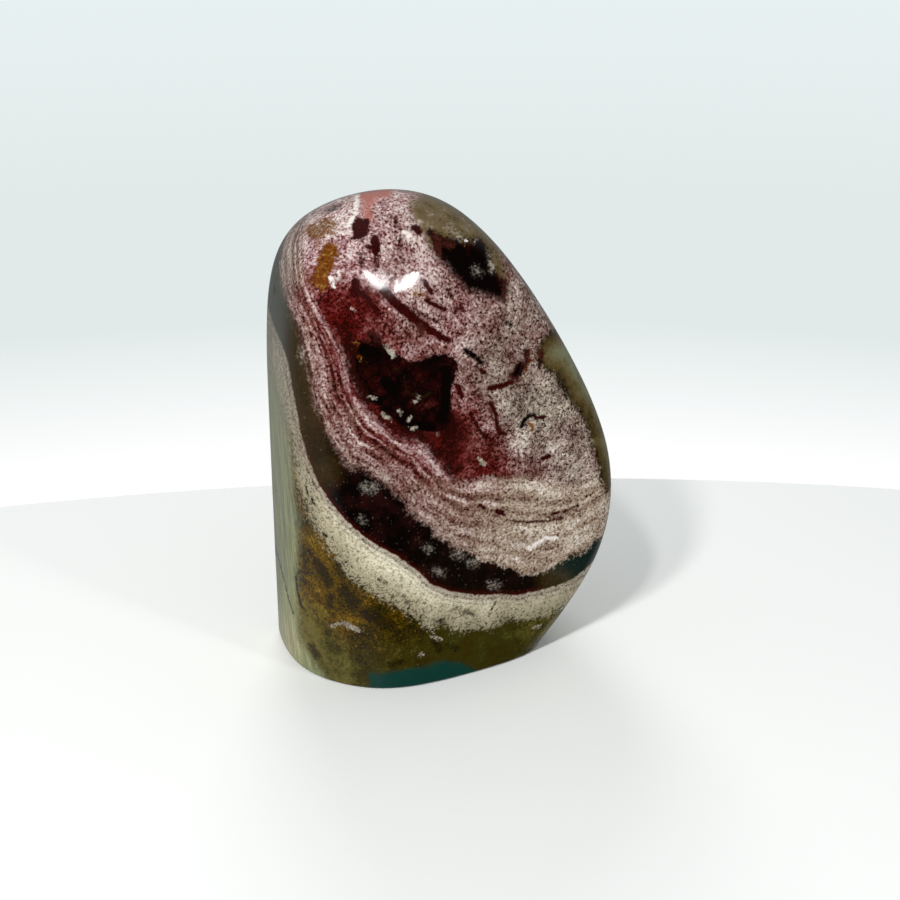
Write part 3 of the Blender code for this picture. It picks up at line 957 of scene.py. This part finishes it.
    # smaller marks
    surface = laid(surface, drawn["salmon"], look.salmon, 1.0, wander)
    red_light = put(maths, grains, 0.16, 0.04, **PLUS)
    surface = laid(surface, drawn["crimson"], put(ramp, red_light, stops=reds), 0.2, tight)
    mustard = put(ramp, put(maths, speckle, 0.9, 0.50, **PLUS),
                  stops=((0.0, look.dark_olive), (0.4, look.mustard), (0.65, look.mustard), (1.0, look.glint)))
    surface = laid(surface, drawn["mustard"], mustard, 0.35, ragged)
    rust_depth = put(step, put(maths, grains, 0.8, blotch, **PLUS), -0.5, 0.4)
    rust = put(mix, rust_depth, look.layer_rust, look.near_black, **HUE)
    surface = laid(surface, drawn["rust"], rust, 0.4, crumble)
    surface = laid(surface, drawn["black"], look.near_black, 0.25, tight)
    pale_mark = put(mix, put(step, speckle, -0.45, 0.45), look.stone_brown, look.crystal, **HUE)
    surface = laid(surface, drawn["pale"], pale_mark, 0.2, put(maths, crumble, 0.8, **TIMES))
    # The white marks hold real white quartz and also painted highlights: the glint on a chip and two small glints.
    white_mark = put(mix, put(step, speckle, -0.7, 0.0), look.pink, look.quartz, **HUE)
    surface = laid(surface, drawn["white"], white_mark, 0.25, put(maths, crumble, 0.6, **TIMES))
    dust = put(mix, put(step, grains, -0.15, 0.20, 0.05, 0.60), surface, look.stone_pale, **HUE)
    surface = laid(surface, drawn["dusty"], dust, 0.8, crumble)
    surface = laid(surface, drawn["crack"], look.dark_olive, 0.12, put(maths, crumble, 0.35, **TIMES))

    surface_colour = next(output for output in surface.outputs if output.enabled)
    tree.links.new(surface_colour, shader.inputs["Base Color"])
    shader.inputs["Roughness"].default_value = 0.07
    shader.inputs["IOR"].default_value = 1.54
    shader.inputs["Specular IOR Level"].default_value = 0.3
    return material


class JASPER_OT_stone(bpy.types.Operator):
    """Builds the polished stone in place of its plain solid"""

    bl_idname = "jasper.stone"
    bl_label = "Build Stone"

    def execute(self, context):
        form, look = context.scene.jasper_form, context.scene.jasper_pattern
        sizes = {name: distance * MM for name, (_, _, distance) in GROUND_FACES.items()}
        for key in form.__annotations__:
            sizes[form.bl_rna.properties[key].name] = getattr(form, key)
        stone = grown("jasper_stone", stone_tree(sizes, polished_jasper(look)), sizes)
        draw_pattern(stone.data)
        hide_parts("stone")
        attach(stone, "root")
        return {"FINISHED"}


# The table's far edge is a wide curve behind the stone.
TABLE_CENTRE = (-188.8, -421.5)
TABLE_RADIUS = 544.8
TABLE_THICKNESS = 18.0
TABLE_CORNERS = 256

# Each soft light's place, the point that it looks at, and its size. The stone doesn't mirror them.
SOFT_LIGHTS = {
    "window": ((-438, -295, 499), (0, 0, 40), (65, 65)),
    "back_light": ((140, 420, 420), (120, 160, 0), (260, 260)),
    "softbox": ((-355, -319, 552), (0, 0, 40), (45, 45)),
}

# The way from the stone to the dark card, and the small lamps whose reflections stand on the show side.
CARD_DIRECTION = (0.41, -0.89, -0.17)
# Each lamp's place, its size along and across, its turn about its own axis, and its share of the lamps' power.
LAMP_TARGET = (-16, -17, 83)
FRONT_LAMPS = {
    "left_lamp": ((157, -532, 335), (183, 18), -1.36, 1.0),
    "middle_lamp": ((182, -536, 309), (151, 6), -1.51, 0.22),
    "right_lamp": ((220, -542, 257), (90, 19), 1.33, 0.7),
}


class JASPER_OT_studio(bpy.types.Operator):
    """Sets up the pale table, the room light, the lamps and the camera"""

    bl_idname = "jasper.studio"
    bl_label = "Set Up Studio"

    def execute(self, context):
        studio = context.scene.jasper_studio
        self.table(context, studio)
        self.room(context, studio)
        for name, (place, target, size) in SOFT_LIGHTS.items():
            self.light(context, name, place, target, size, getattr(studio, name)).visible_glossy = False
        for name, (place, size, roll, share) in FRONT_LAMPS.items():
            lamp = self.light(context, name, place, LAMP_TARGET, size, studio.lamp_power * share)
            lamp.rotation_euler.rotate_axis("Z", roll)
        self.camera(context)
        context.scene.view_settings.view_transform = "Standard"
        return {"FINISHED"}

    def table(self, context, studio):
        count = TABLE_CORNERS
        turns = [2 * math.pi * step / count for step in range(count)]
        ring = [(TABLE_CENTRE[0] + TABLE_RADIUS * math.cos(turn), TABLE_CENTRE[1] + TABLE_RADIUS * math.sin(turn))
                for turn in turns]
        top = [(x * MM, y * MM, 0.0) for x, y in ring]
        foot = [(x * MM, y * MM, -TABLE_THICKNESS * MM) for x, y in ring]
        faces = [tuple(range(count)), tuple(reversed(range(count, 2 * count)))]
        faces += [(step, step + count, (step + 1) % count + count, (step + 1) % count) for step in range(count)]
        mesh = bpy.data.meshes.new("table")
        mesh.from_pydata(top + foot, [], faces)
        mesh.materials.append(self.lacquer(studio))
        table = bpy.data.objects.new("table", mesh)
        table.visible_glossy = False
        context.scene.collection.objects.link(table)
        return table

    def lacquer(self, studio):
        """Matt white lacquer: an even, pale surface that only takes a soft shadow."""
        material = bpy.data.materials.new("matt_white_lacquer")
        material.use_nodes = True
        shader = material.node_tree.nodes["Principled BSDF"]
        shader.inputs["Base Color"].default_value = studio.table
        shader.inputs["Roughness"].default_value = 0.7
        shader.inputs["Specular IOR Level"].default_value = 0.2
        return material

    def room(self, context, studio):
        world = bpy.data.worlds.new("bright_room")
        context.scene.world = world
        world.use_nodes = True
        tree = world.node_tree
        tree.nodes.clear()
        put = partial(add, tree)
        way = put("ShaderNodeTexCoord").outputs["Generated"]
        height = put("ShaderNodeMapRange", put("ShaderNodeSeparateXYZ", way).outputs["Z"], -0.5, 0.1)
        wall = put("ShaderNodeValToRGB", height,
                   stops=((0.0, studio.wall_low), (0.22, studio.wall_low), (0.36, studio.wall_middle),
                          (0.5, studio.wall_middle), (0.75, studio.wall_top), (1.0, studio.wall_top)))
        # a dark card in front of the stone, which only its gloss sees
        facing = put("ShaderNodeVectorMath", way, CARD_DIRECTION, operation="DOT_PRODUCT").outputs["Value"]
        card = put("ShaderNodeMapRange", facing, 0.25, 0.6, 1.0, studio.card_shade, **SOFT)
        ray = put("ShaderNodeLightPath").outputs
        gloss = put("ShaderNodeMath", card, studio.room_gloss, **TIMES)
        strength = put("ShaderNodeMix", ray["Is Glossy Ray"], studio.room_light, gloss)
        strength = put("ShaderNodeMix", ray["Is Camera Ray"], strength, 1.0)
        put("ShaderNodeOutputWorld", put("ShaderNodeBackground", wall, strength))

    def light(self, context, name, place, target, size, power):
        lamp = bpy.data.lights.new(name, "AREA")
        lamp.shape = "ELLIPSE"
        lamp.size, lamp.size_y = size[0] * MM, size[1] * MM
        lamp.energy = power
        holder = bpy.data.objects.new(name, lamp)
        holder.location = Vector(place) * MM
        aim = Vector(target) - Vector(place)
        holder.rotation_euler = aim.to_track_quat("-Z", "Y").to_euler()
        context.scene.collection.objects.link(holder)
        return holder

    def camera(self, context):
        eye, _, _, forward = view_axes()
        lens = bpy.data.cameras.new("studio_camera")
        lens.sensor_width = 36
        lens.lens = 18 / math.tan(VIEW_FIELD / 2)
        lens.clip_start = 0.01
        holder = bpy.data.objects.new("studio_camera", lens)
        holder.location = eye * MM
        holder.rotation_euler = forward.to_track_quat("-Z", "Y").to_euler()
        context.scene.collection.objects.link(holder)
        context.scene.camera = holder


class JASPER_PT_sidebar(bpy.types.Panel):
    bl_label = "Ocean Jasper Freeform"
    bl_idname = "JASPER_PT_sidebar"
    bl_space_type = "VIEW_3D"
    bl_region_type = "UI"
    bl_category = "Jasper"

    def draw(self, context):
        for operator in (JASPER_OT_stone, JASPER_OT_studio):
            self.layout.operator(operator.bl_idname)
        for group in (context.scene.jasper_form, context.scene.jasper_pattern, context.scene.jasper_studio):
            box = self.layout.box()
            for name in group.__annotations__:
                box.prop(group, name)


CLASSES = (JasperForm, JasperPattern, StudioSetting, JASPER_OT_stone, JASPER_OT_studio, JASPER_PT_sidebar)


def register():
    for part in CLASSES:
        bpy.utils.register_class(part)
    bpy.types.Scene.jasper_form = PointerProperty(type=JasperForm)
    bpy.types.Scene.jasper_pattern = PointerProperty(type=JasperPattern)
    bpy.types.Scene.jasper_studio = PointerProperty(type=StudioSetting)


def unregister():
    del bpy.types.Scene.jasper_studio
    del bpy.types.Scene.jasper_pattern
    del bpy.types.Scene.jasper_form
    for part in reversed(CLASSES):
        bpy.utils.unregister_class(part)


def main():
    register()
    bpy.ops.jasper.stone()
    bpy.ops.jasper.studio()


if __name__ == "__main__":
    main()
